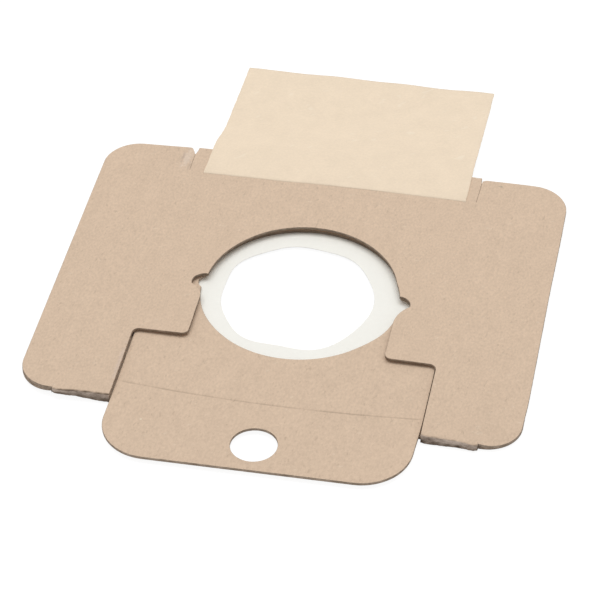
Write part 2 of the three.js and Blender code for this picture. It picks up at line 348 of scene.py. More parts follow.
def turning(loop):
    """Twice the signed area of a closed loop, positive where it runs anticlockwise."""
    after = np.roll(loop, -1, axis=0)
    return np.sum(loop[:, 0] * after[:, 1] - after[:, 0] * loop[:, 1])


def inward(loop):
    """Unit directions into the board at a loop's points: its direction of travel, turned left."""
    travel = np.roll(loop, -1, axis=0) - np.roll(loop, 1, axis=0)
    travel /= np.linalg.norm(travel, axis=1)[:, None]
    return np.column_stack((-travel[:, 1], travel[:, 0]))


def inside(points, loops):
    """Whether each point lies on the board: a ray to the right crosses the edges an odd number of times."""
    result = np.zeros(len(points), bool)
    for loop in loops:
        after = np.roll(loop, -1, axis=0)
        for first in range(0, len(points), 4000):
            x, y = points[first:first + 4000, 0:1], points[first:first + 4000, 1:2]
            spans = (loop[:, 1] > y) != (after[:, 1] > y)
            rise = np.where(after[:, 1] == loop[:, 1], 1, after[:, 1] - loop[:, 1])
            cross = loop[:, 0] + (y - loop[:, 1]) * (after[:, 0] - loop[:, 0]) / rise
            result[first:first + 4000] ^= (np.sum(spans & (cross > x), axis=1) % 2).astype(bool)
    return result


def clear_of(points, edges, gap):
    """Whether each point is further than the gap from every edge point."""
    result = np.ones(len(points), bool)
    for first in range(0, len(points), 2000):
        part = points[first:first + 2000]
        square = ((part[:, None, :] - edges[None, :, :]) ** 2).sum(axis=2).min(axis=1)
        result[first:first + 2000] = square > gap * gap
    return result


def lattice(left, right, low, high, dx, dy):
    """Even grid of points that fills a rectangle of the blank."""
    x = np.linspace(left, right, max(2, round((right - left) / dx) + 1))
    y = np.linspace(low, high, max(2, round((high - low) / dy) + 1))
    return np.stack(np.meshgrid(x, y), axis=-1).reshape(-1, 2)


def crease_place(x):
    """Where the pressed line crosses the tongue: a shallow bow, nearer to the tab's end in the middle."""
    return CREASE_AT + CREASE_BOW * (x / TONGUE_HALF) ** 2 - CREASE_TILT * x / TONGUE_HALF


def lean(x, y):
    """Twist of the collar's sides, straight from near to far edge between the corners' lifts, less a droop."""
    along = (y - TWIST_NEAR) / (TWIST_FAR - TWIST_NEAR)
    left, right = (near + (far - near) * along for near, far in TWIST)
    droop = CORNER_DROOP * ease(x, 51, 57) * ease(-y, 34, 48)
    return np.where(x < 0, left, right) * ease(np.abs(x), TWIST_FROM, TWIST_TO) - droop


def leaf_middle(x, y):
    """Height of the front leaf's middle: crown minus drop times (|x| / half width) to the arch's power."""
    drop = ARCH_DROP * np.minimum(1, np.abs(x) / ARCH_HALF) ** ARCH_POWER
    return LEAF_CROWN - BOARD_HALF - drop + lean(x, y)


def back_middle(x, y):
    """Height of the back leaf's middle: flat on the ground, eased up by the side lift beside the tongue.

    At the near left fold the two leaves are pressed together, so the lift comes sooner there."""
    pressed = LEFT_PRESS * ease(-x, 44, 50) * ease(x, -60, -54) * ease(-y, 30, 48)
    lift = SIDE_LIFT * ease(np.abs(x), LIFT_FROM, LIFT_TO)
    return BOARD_HALF + np.maximum(0, lift + lean(x, y) + pressed)


def bend(share, reach, radius, gap):
    """Path round a fold: a straight, a quarter turn, an upright wall, a quarter turn and a straight back.

    It climbs the gap between two layers and reaches this far out of the bend's start. Gives the distance
    outwards, the distance across and the angle turned, for a share of the path's length."""
    radius = np.minimum(radius, gap / 2)
    straight, wall, quarter = np.maximum(0.02, reach - radius), gap - 2 * radius, radius * math.pi / 2
    along = share * (2 * (straight + quarter) + wall)
    first = np.minimum(along, straight)
    turn_one = np.clip(along - straight, 0, quarter) / radius
    up = np.clip(along - straight - quarter, 0, wall)
    turn_two = np.clip(along - straight - quarter - wall, 0, quarter) / radius
    last = np.maximum(along - straight - 2 * quarter - wall, 0)
    outwards = first + radius * np.sin(turn_one) - radius * (1 - np.cos(turn_two)) - last
    across = radius * (1 - np.cos(turn_one)) + up + radius * np.sin(turn_two)
    return outwards, across, turn_one + turn_two


def near_reach(x):
    """How far the near folds reach out of their bend's start, less at the rounded ends of each fold."""
    along = ease(np.abs(x), 47, 54)
    left, right = (inner + (outer - inner) * along for inner, outer in NEAR_REACHES)
    to_end = np.minimum(np.abs(x) - NEAR_FOLD, np.where(x < 0, *NEAR_ENDS) - np.abs(x))
    rounded = NEAR_ROUND * (1 - ease(to_end, -0.1, 1.2))
    return NEAR_BEND - np.where(x < 0, left, right) - rounded


def moved(x, y, tongue, back):
    """Moves plan places by what chance did to the collar.

    The tab's end is askew, the right slit leans outwards, the hose hole is dented, the right side is tucked
    in, most at its near corner, and the back leaf sits further in on the right."""
    aside, narrower, longer = TAB_SKEW
    leaf = ~tongue & ~back
    skew = ease(-y, 42, 60) * tongue
    y = y + longer * x / TONGUE_HALF * skew
    slit = SLIT_LEAN * ease(x, 34, 40.2) * ease(-x, -47, -41) * np.clip((y - SLIT_END) / 10, 0, 1) * ~back
    less, more, angle, width = HOLE_DENT
    radius, turn = np.hypot(x, y), np.degrees(np.arctan2(y, x))
    dent = less * ease(y, -1, 4) + more * np.exp(-((turn - angle) / width) ** 2)
    dent = dent * ease(-radius, -33, -27) * leaf / np.maximum(radius, 1)
    x, y = x - x * dent, y - y * dent
    tuck = SIDE_TUCK * ease(-y, -35, -10) + CORNER_TUCK * ease(-y, 30, 43)
    x = x - tuck * ease(x, 52, 64) * leaf
    x = x + (aside + narrower * x / TONGUE_HALF) * skew - BACK_TUCK * ease(x, 45, 60) * back + slit
    return x, y


def folded(x, place, t):
    """Carries points of the flat blank into the folded board.

    t is the distance from the sheet's middle towards the outside of its folds. Flat parts keep their plan
    place and get their layer's height. In a fold the point follows the bend path and stands off it by t, less
    on the squeezed inner side. Also gives the angle turned in a near fold."""
    tongue = place < FAR_BEND
    leaf_start, leaf_end = on_leaf(FAR_BEND), on_leaf(NEAR_BEND)
    back_start = on_back(NEAR_BEND)
    far_fold = (place >= FAR_BEND) & (place <= leaf_start) & (np.abs(x) < SLIT_AT)
    near_fold = (place >= leaf_end) & (place <= back_start) & (
        np.abs(x) > NEAR_FOLD - SLOT_HALF) & (x > -NEAR_ENDS[0] - SLOT_HALF) & (x < NEAR_ENDS[1] + SLOT_HALF)
    back = ~near_fold & (place > (leaf_end + back_start) / 2)

    y_leaf = 2 * FAR_BEND + FAR_ROOM - place
    y_back = NEAR_BEND + place - back_start
    y = np.where(tongue, place, np.where(back, y_back, y_leaf))
    height = np.where(tongue, TONGUE_MIDDLE, np.where(back, back_middle(x, y_back), leaf_middle(x, y_leaf)))
    z = height + np.where(tongue | back, -1.0, 1.0) * t

    reach = FAR_REACH - FAR_BEND + FAR_PUFF * ease(x, 30, 38)
    gap = leaf_middle(x, FAR_BEND) - TONGUE_MIDDLE
    out, across, turned = bend((place - FAR_BEND) / FAR_ROOM, reach, FAR_BEND_RADIUS, gap)
    y = np.where(far_fold, FAR_BEND + out + t * np.sin(turned), y)
    z = np.where(far_fold, TONGUE_MIDDLE + across - t * np.cos(turned), z)

    top = leaf_middle(x, NEAR_BEND)
    gap = top - back_middle(x, NEAR_BEND)
    out, across, turned = bend((place - leaf_end) / NEAR_ROOM, near_reach(x), NEAR_BEND_RADIUS, gap)
    t = np.where(t < 0, t * (1 - 0.2 * np.minimum(1, 2.5 * np.sin(turned))), t)
    y = np.where(near_fold, NEAR_BEND - out - t * np.sin(turned), y)
    z = np.where(near_fold, top - across + t * np.cos(turned), z)
    x, y = moved(x, y, tongue, back)
    return np.column_stack((x, y, np.maximum(z, 0))), np.where(near_fold, turned, 0)


def openness(loop):
    """1 along open edges, and a quarter along the slits and slots, whose two edges nearly touch."""
    side, place = np.abs(loop[:, 0]), loop[:, 1]
    slit = (np.abs(side - SLIT_AT) < 0.2) & (np.abs(place - on_leaf(50)) < 5.8)
    ends = np.where(loop[:, 0] < 0, *NEAR_ENDS)
    outer = (np.abs(side - ends) < 0.2) & (np.abs(place - on_leaf(NEAR_BEND)) < 0.8)
    return np.where(slit | outer, 0.25, 1.0)[:, None]


def rim_profile(half):
    """Cut edge from one face to the other: inset from the die line, and distance from the sheet's middle."""
    inset = np.array([0.11, 0.05, 0.015, 0.0, -0.01, -0.015, -0.01, 0.0, 0.015, 0.05, 0.11])
    level = np.array([1.0, 0.975, 0.9, 0.78, 0.4, 0.0, -0.4, -0.78, -0.9, -0.975, -1.0]) * half
    return inset, level


def flat_blank(loops):
    """Triangles of the flat blank, its die lines as fixed edges, with finer points at creases and folds."""
    inset, _ = rim_profile(BOARD_HALF)
    rims = [loop + inward(loop) * inset[0] * openness(loop) for loop in loops]
    guards = np.vstack([loop + inward(loop) * 0.34 for loop in loops])
    half, far = loops[0][:, 0].max(), loops[0][:, 1].max()
    crease_x = np.linspace(-TONGUE_HALF + 1, TONGUE_HALF - 1, 130)
    crease = np.vstack([np.column_stack((crease_x, crease_place(crease_x) + step))
                        for step in (-0.5, -0.3, -0.15, 0, 0.15, 0.3, 0.5)])
    fold_low, fold_high = on_leaf(NEAR_BEND) - 0.4, on_back(NEAR_BEND) + 0.4
    fine = np.vstack((
        crease,
        lattice(-39, 39, FAR_BEND - 0.2, on_leaf(FAR_BEND) + 0.2, 1.0, 0.3),
        lattice(-54.5, -40.5, fold_low, fold_high, 0.2, 0.11),
        lattice(40.5, 54.1, fold_low, fold_high, 0.2, 0.11),
    ))
    grid = lattice(-half, half, -TONGUE_REACH, far, 2.0, 2.0)
    grid[:, 0] += 1e-3 * np.sin(grid[:, 1] * 7)
    grid = grid[clear_of(grid, fine, 0.9)]
    edges = np.vstack(rims)
    spare = np.vstack((guards[clear_of(guards, edges, 0.16)], fine[clear_of(fine, edges, 0.14)]))
    spare = np.vstack((spare, grid[clear_of(grid, np.vstack((edges, guards)), 0.7)]))
    spare = spare[inside(spare, rims)]

    counts = [len(loop) for loop in rims]
    starts = np.concatenate(([0], np.cumsum(counts)[:-1]))
    border = np.vstack([np.column_stack((np.arange(n), (np.arange(n) + 1) % n)) + s
                        for n, s in zip(counts, starts)])
    points = np.vstack((edges, spare))
    found, _, triangles, origin, _, _ = delaunay_2d_cdt(
        [Vector(p) for p in points.tolist()], border.tolist(), [], 0, 1e-7, True)
    if len(found) != len(points):
        raise RuntimeError("the blank's edges touch each other")
    order = np.array([ids[0] for ids in origin])
    triangles = order[np.array(triangles)]
    middle = points[triangles].mean(axis=1)
    sure = (triangles >= len(edges)).any(axis=1)
    return points, triangles[sure | inside(middle, rims)], starts


def cut_edges(loops, starts, total, half):
    """Cut edges of the blank: for each loop, rows of points from one face's rim to the other's.

    A row is the loop stood in by the rim profile and by chance shifts, which are the cut's fibres. Gives x,
    place, t, the cut mark and the mark of painted shade on the cut walls of the window and the tongue's hole
    for the new points, and the quads between the rows."""
    inset, level = rim_profile(half)
    rows = len(level)
    found, quads = [], []
    base = 2 * total
    seed = 11
    for loop, start in zip(loops, starts):
        count = len(loop)
        into = inward(loop)
        step = np.linalg.norm(np.roll(loop, -1, axis=0) - loop, axis=1)
        along = np.concatenate(([0], np.cumsum(step)[:-1]))
        around = np.minimum(along, along[-1] + step[-1] - along)
        openly = openness(loop)[:, 0]
        leaf_hole = (loop[:, 1] > on_leaf(30)) & (loop[:, 1] < on_leaf(-24)) & (np.abs(loop[:, 0]) < 41)
        tongue_hole = (np.hypot(loop[:, 0], loop[:, 1]) < 31) & (loop[:, 1] > 2.5)
        index = np.zeros((rows, count), int)
        index[0] = start + np.arange(count)
        index[-1] = total + index[0]
        for row in range(1, rows - 1):
            share = level[row] / half
            strength = (openly > 0.5) * (0.035 * (1 - abs(share)) + 0.012)
            fibres = soft_noise(around / 0.55, np.full(count, row * 0.8), seed)
            fibres += 0.6 * soft_noise(around / 0.21, np.full(count, row * 1.7), seed + 1)
            edge = loop + into * (inset[row] * openly + strength * fibres)[:, None]
            cut = 1.0 if 1 < row < rows - 2 else 0.7
            # painted shade on the cut walls round the hose hole and the window's far edge, darker towards each
            # wall's foot under the leaf, and on the far wall of the tongue's hole
            recess_shade = np.where(leaf_hole, 0.5 - 0.4 * share, 0.85 * tongue_hole).clip(0, 1)
            found.append((edge[:, 0], edge[:, 1], np.full(count, level[row]), np.full(count, cut), recess_shade))
            index[row] = base + (row - 1) * count + np.arange(count)
        base += (rows - 2) * count
        seed += 3
        beside = np.roll(index, -1, axis=1)
        quads.append(np.stack((index[:-1], beside[:-1], beside[1:], index[1:]), axis=-1).reshape(-1, 4))
    return [np.concatenate(values) for values in zip(*found)], np.concatenate(quads)


def fold_wear_and_shade(x, place, t, half):
    """Presses the line into the tab, folds the blank, wears its folds and paints shade along their feet.

    The folds' outer skin is shifted by noise, sinks along a split on its upper side, and is dark there; along
    its foot, where the fold's underside turns down to the ground, it gets painted shade. Gives the positions,
    the fold mark, and the mark of the dark splits, pressed lines and painted shade."""
    outer = np.clip(t / half, 0, 1)
    pressed = np.exp(-((place - crease_place(x)) / 0.2) ** 2) * (place < FAR_BEND)
    t = t + np.where(t < 0, 0.07 * pressed, 0.03 * pressed) * np.abs(t / half)
    _, turned = folded(x, place, t)
    bulge = np.sin(turned) * outer
    ragged = 0.06 * soft_noise(x / 0.8, place / 0.4, 5) + 0.05 * soft_noise(x / 0.33, place / 0.27, 6)
    ragged += 0.11 * soft_noise(x / 1.9 + place / 0.9, place / 1.1, 7)
    split = np.exp(-((turned - 0.62) / 0.3) ** 2) * outer * (0.75 + 0.5 * soft_noise(x / 1.1, place * 0, 9))
    split *= np.where(x < 0, 1.0, 0.45)
    position, turned = folded(x, place, t + ragged * bulge - 0.13 * split)
    foot, top = back_middle(x, NEAR_BEND) - half, leaf_middle(x, NEAR_BEND) + half
    rise = (position[:, 2] - foot) / (top - foot)
    # painted shade along the fold's foot, where its underside turns down to the ground
    under = ease(-rise, -0.72, -0.36) * ease(turned, 0.1, 0.5) * ease(-turned, -2.9, -2.5) * outer
    under *= 0.8 + 0.5 * soft_noise(x / 1.3, place * 0, 12)
    over = ease(place, FAR_BEND, on_leaf(FAR_BEND) + 2) * (1 - ease(place, on_leaf(-46), on_leaf(NEAR_BEND)))
    position[:, 2] += 0.02 * soft_noise(x / 9 + 40, place / 9 + 40, 8) * over
    faint = np.where(t < 0, 0.3, 0.12) * (0.8 + 0.4 * soft_noise(x / 3, place * 0, 10))
    faint *= ease(-np.abs(x), -39.5, -38.5)
    # dark splits and pressed lines, and the painted shade along the folds' feet
    crack_and_shade = np.maximum(np.maximum(0.9 * split, 0.85 * under), pressed * faint).clip(0, 1)
    return position, bulge, crack_and_shade


def board_mesh(size):
    """The folded blank as one closed mesh: both faces of the triangulated sheet, and the cut edges.

    Each face is the flat blank stood off by half the thickness, and then all points are folded and worn."""
    half = size["board"] / 2
    loops = blank_loops(size)
    points, triangles, starts = flat_blank(loops)
    total = len(points)
    a, b, c = (points[triangles[:, corner]] for corner in range(3))
    clockwise = (b - a)[:, 0] * (c - a)[:, 1] - (b - a)[:, 1] * (c - a)[:, 0] < 0
    triangles[clockwise] = triangles[clockwise][:, ::-1]

    edges, quads = cut_edges(loops, starts, total, half)
    both = np.vstack((points, points))
    none = np.zeros(2 * total)
    faces = both[:, 0], both[:, 1], np.repeat((half, -half), total), none, none
    x, place, t, cut, recess_shade = (np.concatenate(pair) for pair in zip(faces, edges))
    position, fold, crack_and_shade = fold_wear_and_shade(x, place, t, half)
    marks = {"cut": cut, "fold": fold, "crack_and_shade": crack_and_shade, "recess_shade": recess_shade}
    return position, [np.concatenate((triangles[:, ::-1], triangles + total)), quads], marks


def seal_mesh(size):
    """The rubber sheet: a ring whose hole has radius mean plus cosine waves, and whose rim is a circle.

    One parameter runs round the ring, the other round its thin cross-section: out along the top, round the
    rim, back along the underside and round the lip of the hole. The free lip ripples a little."""
    around = np.linspace(0, 2 * math.pi, 480, endpoint=False)[:, None]
    radius = size["seal_hole"] + sum(h * np.cos(n * around + math.radians(turn)) for n, h, turn in SEAL_WAVES)
    half = size["seal"] / 2
    flat = np.linspace(0, 1, 26)
    none = np.zeros(len(flat))
    lip = np.radians(np.linspace(90, 270, 9)[1:-1])
    rim = np.radians(np.linspace(-90, 90, 7)[1:-1])
    share = np.concatenate((flat, np.ones(len(rim)), flat[::-1], np.zeros(len(lip))))[None, :]
    stand = half * np.concatenate((none, np.cos(rim), none, np.cos(lip)))[None, :]
    level = half * np.concatenate((none + 1, np.sin(-rim), none - 1, np.sin(lip[::-1])))[None, :]
    hole_x, hole_y = SEAL_HOLE_AT
    inner = radius + stand * (share == 0)
    outer = size["seal_rim"] + stand * (share == 1)
    x = (hole_x + inner * np.cos(around)) * (1 - share) + outer * np.cos(around) * share
    y = (hole_y + inner * np.sin(around)) * (1 - share) + outer * np.sin(around) * share
    free = 1 - ease(share, 0.0, 0.34)
    ripple = 0.05 * np.cos(3 * around + 1.1) + 0.035 * np.cos(7 * around + 0.4) - 0.05
    z = size["board"] + half + level + free * ripple
    return np.stack((x, y, z), axis=-1)


def paper_mesh(size):
    """The bag paper: a closed thin sheet that lies on the hinged strip and slopes down to the ground.

    Its height is the strip's top times one minus an eased fall that is longer on the right than on the left,
    plus small waves that grow towards its free end. The cross-section runs over the top and back below, and
    is pressed thin at the near edge."""
    half = size["paper"] / 2
    even, none = np.linspace(-1, 1, 110), np.zeros(110)
    edge = np.ones(2)
    across = np.concatenate((even, edge, even[::-1], -edge))
    bulge = np.concatenate((none, 0.7 * edge, none, -0.7 * edge)) * half
    level = np.concatenate((none + 1, [0.5, -0.5], none - 1, [-0.5, 0.5])) * half
    along = np.linspace(0, 1, 90)[:, None]
    thick = PAPER_PRESSED + (1 - PAPER_PRESSED) * ease(along, 0, 0.02)
    width, middle = (near + (far - near) * along for near, far in (PAPER_WIDTHS, PAPER_MIDDLES))
    frayed = 0.06 * soft_noise(along * 40 + 3, along * 0 + np.sign(across) * 3, 21) * (np.abs(across) > 0.999)
    x = middle + across * width / 2 + bulge + frayed
    start = PAPER_NEAR - PAPER_SKEW * (1 - ease(x, -16, 1))
    y = start + along * (SLIT_END + size["paper_length"] - start)
    y += 0.05 * soft_noise(x / 2.2, x * 0 + 4, 22) * np.abs(2 * along - 1) ** 8
    left, right = PAPER_FALLS
    fall = ease(y, PAPER_FALL_FROM, PAPER_FALL_FROM + left + (right - left) * (across + 1) / 2)
    rest = leaf_middle(x, np.full_like(x, FAR_BEND)) + BOARD_HALF + 0.003 + half * thick
    z = rest * (1 - fall) + half * fall
    wave = 0.1 * (1 + np.cos(across * 5.2 + 0.6)) + 0.1 * (1 + np.cos(across * 11 + along * 3))
    z += ease(y, 60, 99) * wave + 0.03 * (1 + soft_noise(x / 7, y / 7, 23)) * ease(y, 56, 62) + level * thick
    return np.stack((x, y, z), axis=-1)


# From arrays to Blender


def put_mesh(name, position, faces, marks):
    """Writes positions in millimetres and lists of triangles and quads into a new mesh object."""
    mesh = bpy.data.meshes.new(name)
    place = (position + np.array([0, size_shift(), 0])) * MM
    sizes = np.concatenate([np.full(len(f), f.shape[1]) for f in faces])
    corners = np.concatenate([f.ravel() for f in faces])
    mesh.vertices.add(len(place))
    mesh.vertices.foreach_set("co", place.ravel())
    mesh.loops.add(len(corners))
    mesh.loops.foreach_set("vertex_index", corners.astype(np.int32))
    mesh.polygons.add(len(sizes))
    mesh.polygons.foreach_set("loop_start", np.concatenate(([0], np.cumsum(sizes)[:-1])).astype(np.int32))
    mesh.update(calc_edges=True)
    mesh.polygons.foreach_set("use_smooth", np.ones(len(sizes), bool))
    for mark, values in marks.items():
        mesh.attributes.new(mark, "FLOAT", "POINT").data.foreach_set("value", values.astype(np.float32))
    if mesh.validate():
        raise RuntimeError(name + " has faulty faces")
    piece = bpy.data.objects.new(name, mesh)
    bpy.context.scene.collection.objects.link(piece)
    return piece


def put_ring(name, surface):
    """A grid of positions that closes both ways, as a mesh object."""
    index = np.arange(surface.shape[0] * surface.shape[1]).reshape(surface.shape[:2])
    beside, after = np.roll(index, -1, axis=1), np.roll(index, -1, axis=0)
    quads = np.stack((index, beside, np.roll(beside, -1, axis=0), after), axis=-1).reshape(-1, 4)
    return put_mesh(name, surface.reshape(-1, 3), [quads], {})


def put_sheet(name, surface):
    """A grid of positions whose rows are closed rings, as a mesh object with a flat cap at each end."""
    count = surface.shape[1]
    index = np.arange(surface.shape[0] * count).reshape(surface.shape[:2])
    beside = np.roll(index, -1, axis=1)
    faces = [np.stack((index[:-1], beside[:-1], beside[1:], index[1:]), axis=-1).reshape(-1, 4)]
    half = count // 2 - 2
    for ring, order in ((index[0], 1), (index[-1], -1)):
        over, under = ring[:half], ring[half + 2:2 * half + 2][::-1]
        cap = np.stack((over[:-1], under[:-1], under[1:], over[1:]), axis=-1)
        ends = np.array([[over[-1], under[-1], ring[half + 1], ring[half]],
                         [under[0], over[0], ring[-1], ring[-2]]])
        faces.append(np.concatenate((cap, ends))[:, ::order])
    return put_mesh(name, surface.reshape(-1, 3), faces, {})


def size_shift():
    """Place of the hose hole's middle along the frame's y, in millimetres, read off the board's near end."""
    return CAD_BOARD[0].y / MM + TONGUE_REACH


# Finishes


def new_group(name, inputs, outputs):
    """A shader node group with named sockets, and its input and output nodes."""
    group = bpy.data.node_groups.new(name, "ShaderNodeTree")
    for title, kind, default in inputs:
        socket = group.interface.new_socket(title, in_out="INPUT", socket_type=kind)
        if default is not None:
            socket.default_value = default
    for title, kind in outputs:
        group.interface.new_socket(title, in_out="OUTPUT", socket_type=kind)
    return group, group.nodes.new("NodeGroupInput"), group.nodes.new("NodeGroupOutput")


def feed(tree, value, socket):
    """Links a value that is a socket, and sets any other one."""
    if isinstance(value, bpy.types.NodeSocket):
        tree.links.new(value, socket)
    else:
        socket.default_value = value


def node(tree, kind, links=(), **settings):
    """A node with its settings, and its inputs linked from sockets or set to values."""
    made = tree.nodes.new(kind)
    for key, value in settings.items():
        setattr(made, key, value)
    for key, value in dict(links).items():
        feed(tree, value, made.inputs[key])
    return made


def maths(tree, operation, a, b=0.0, c=0.0):
    """One sum of values."""
    return node(tree, "ShaderNodeMath", {0: a, 1: b, 2: c}, operation=operation).outputs[0]


def vector_maths(tree, operation, a, b):
    """One sum of vectors."""
    return node(tree, "ShaderNodeVectorMath", {0: a, 1: b}, operation=operation).outputs[0]


def cloudy(tree, vector, scale, detail, roughness=0.5):
    """Value of a noise texture."""
    return node(tree, "ShaderNodeTexNoise", {
        "Vector": vector, "Scale": scale, "Detail": detail, "Roughness": roughness}).outputs["Fac"]


def blend_colour(tree, share, first, second, kind="MIX"):
    """The first colour with a share of the second laid over it."""
    given = {0: share, 6: first, 7: second}
    return node(tree, "ShaderNodeMix", given, data_type="RGBA", blend_type=kind).outputs[2]


def stretch(tree, value, low, high, new_low=0.0, new_high=1.0):
    """Maps a value from one span to another, held at the ends."""
    return node(tree, "ShaderNodeMapRange", {
        "Value": value, "From Min": low, "From Max": high, "To Min": new_low, "To Max": new_high}).outputs[0]


def pulp_grain():
    """Shared effect: the fine cloudy grain of pressed pulp, as a value round zero and as a height."""
    group, source, sink = new_group("Pulp grain", (
        ("Vector", "NodeSocketVector", None), ("Fine", "NodeSocketFloat", 1900.0),
        ("Cloud", "NodeSocketFloat", 260.0), ("Cloud share", "NodeSocketFloat", 0.4),
    ), (("Value", "NodeSocketFloat"), ("Height", "NodeSocketFloat")))
    given = source.outputs
    fine = cloudy(group, given["Vector"], given["Fine"], 3.0, 0.62)
    cloud = cloudy(group, given["Vector"], given["Cloud"], 3.0, 0.55)
    cloud = maths(group, "MULTIPLY", maths(group, "SUBTRACT", cloud, 0.5), given["Cloud share"])
    group.links.new(maths(group, "ADD", maths(group, "SUBTRACT", fine, 0.5), cloud), sink.inputs["Value"])
    group.links.new(fine, sink.inputs["Height"])
    return group


def stray_fibres():
    """Shared effect: sparse short fibres and flecks, as a mask: noise drawn out one way and cut off high."""
    group, source, sink = new_group("Stray fibres", (
        ("Vector", "NodeSocketVector", None), ("Scale", "NodeSocketFloat", 1100.0),
        ("Turn", "NodeSocketVector", (0.0, 0.0, 0.1)), ("Length", "NodeSocketVector", (1.0, 0.4, 1.0)),
        ("Share", "NodeSocketFloat", 0.7),
    ), (("Mask", "NodeSocketFloat"),))
    given = source.outputs
    turned = node(group, "ShaderNodeVectorRotate", {
        "Vector": given["Vector"], "Rotation": given["Turn"]}, rotation_type="EULER_XYZ").outputs[0]
    drawn = vector_maths(group, "MULTIPLY", turned, given["Length"])
    upper = maths(group, "ADD", given["Share"], 0.06)
    mask = stretch(group, cloudy(group, drawn, given["Scale"], 1.5), given["Share"], upper)
    group.links.new(mask, sink.inputs["Mask"])
    return group


def wear_and_light_patch():
    """Shared effect: a soft-edged patch round a place, broken up by noise, as a mask."""
    group, source, sink = new_group("Wear and light patch", (
        ("Vector", "NodeSocketVector", None), ("Place", "NodeSocketVector", (0.0, 0.0, 0.0)),
        ("Reach", "NodeSocketVector", (0.003, 0.003, 0.001)), ("Ragged", "NodeSocketFloat", 2.2),
        ("Scale", "NodeSocketFloat", 1100.0),
    ), (("Mask", "NodeSocketFloat"),))
    given = source.outputs
    away = vector_maths(group, "SUBTRACT", given["Vector"], given["Place"])
    share = vector_maths(group, "DIVIDE", away, given["Reach"])
    far_off = node(group, "ShaderNodeVectorMath", {0: share}, operation="LENGTH").outputs["Value"]
    rough = maths(group, "SUBTRACT", cloudy(group, given["Vector"], given["Scale"], 2.0), 0.5)
    torn = maths(group, "MULTIPLY_ADD", rough, given["Ragged"], far_off)
    group.links.new(stretch(group, torn, 1.05, 0.3), sink.inputs["Mask"])
    return group


def use_group(tree, group, **links):
    """Places a shared effect in a material, with its own values."""
    made = node(tree, "ShaderNodeGroup", node_tree=group)
    for key, value in links.items():
        feed(tree, value, made.inputs[key.replace("_", " ").capitalize()])
    return made


def new_finish(name, roughness, specular):
    """An empty material with its shader and its Object coordinates."""
    material = bpy.data.materials.new(name)
    material.use_nodes = True
    tree = material.node_tree
    shader = tree.nodes["Principled BSDF"]
    shader.inputs["Roughness"].default_value = roughness
    shader.inputs["Specular IOR Level"].default_value = specular
    return material, tree, shader, tree.nodes.new("ShaderNodeTexCoord").outputs["Object"]


def brighten(tree, colour, value, share):
    """Multiplies a colour by one plus a share of a value round zero."""
    share = maths(tree, "MULTIPLY_ADD", value, share, 1.0)
    grey = node(tree, "ShaderNodeCombineColor", {0: share, 1: share, 2: share})
    return blend_colour(tree, 1.0, colour, grey.outputs[0], "MULTIPLY")


def emboss(tree, shader, height, strength, distance=0.00002):
    """Feeds a height into the shader's normal."""
    bump = node(tree, "ShaderNodeBump", {"Strength": strength, "Distance": distance, "Height": height})
    tree.links.new(bump.outputs[0], shader.inputs["Normal"])


